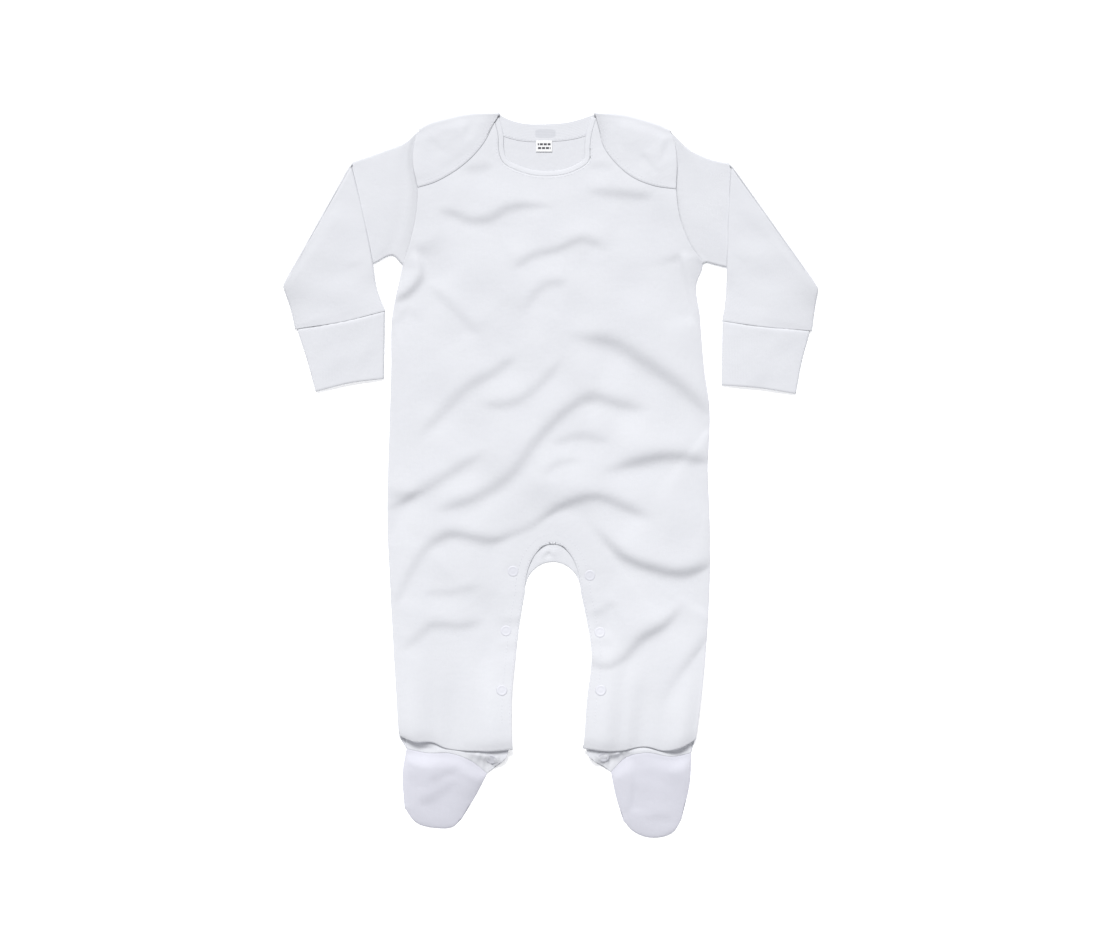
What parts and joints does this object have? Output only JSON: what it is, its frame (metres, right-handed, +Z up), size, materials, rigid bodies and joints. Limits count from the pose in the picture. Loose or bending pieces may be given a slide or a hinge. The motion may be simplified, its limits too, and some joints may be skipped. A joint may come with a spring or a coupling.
{
  "type": "footed baby sleepsuit",
  "caption": "Footed baby sleepsuit in white cotton, laid flat: lap shoulders, folded long sleeves with deep cuffs, poppered inner legs and closed feet.",
  "frame": {"origin": "on the table under the middle of the suit's bounding box", "axes": "+X to the right as seen from above, +Y from the feet to the neck, +Z up off the table, out of the front of the suit"},
  "size_m": [0.4477, 0.6089, 0.0092],
  "materials": {
    "cotton": "fine white cotton interlock, matt, with a very slight cool tint",
    "cotton_trim": "the same white cotton, doubled, on cuffs, bands and bindings",
    "label_satin": "woven white label, slight sheen, with plain grey dashes",
    "popper_resin": "white enamelled ring poppers, low sheen"
  },
  "bodies": {
    "root": {"back_panel": "cotton", "front_panel": "cotton", "sleeve_left": "cotton", "sleeve_right": "cotton", "cuff_left": "cotton_trim", "cuff_right": "cotton_trim", "foot_upper_left": "cotton", "foot_upper_right": "cotton", "foot_sole_left": "cotton", "foot_sole_right": "cotton", "back_leg_band": "cotton_trim", "front_leg_band": "cotton_trim", "front_neck_binding": "cotton_trim", "back_neck_band": "cotton_trim", "neck_label": "label_satin", "popper_crotch_left": "popper_resin", "popper_crotch_right": "popper_resin", "popper_thigh_left": "popper_resin", "popper_thigh_right": "popper_resin", "popper_knee_left": "popper_resin", "popper_knee_right": "popper_resin", "popper_ankle_left": "popper_resin", "popper_ankle_right": "popper_resin"}
  },
  "joints": []
}
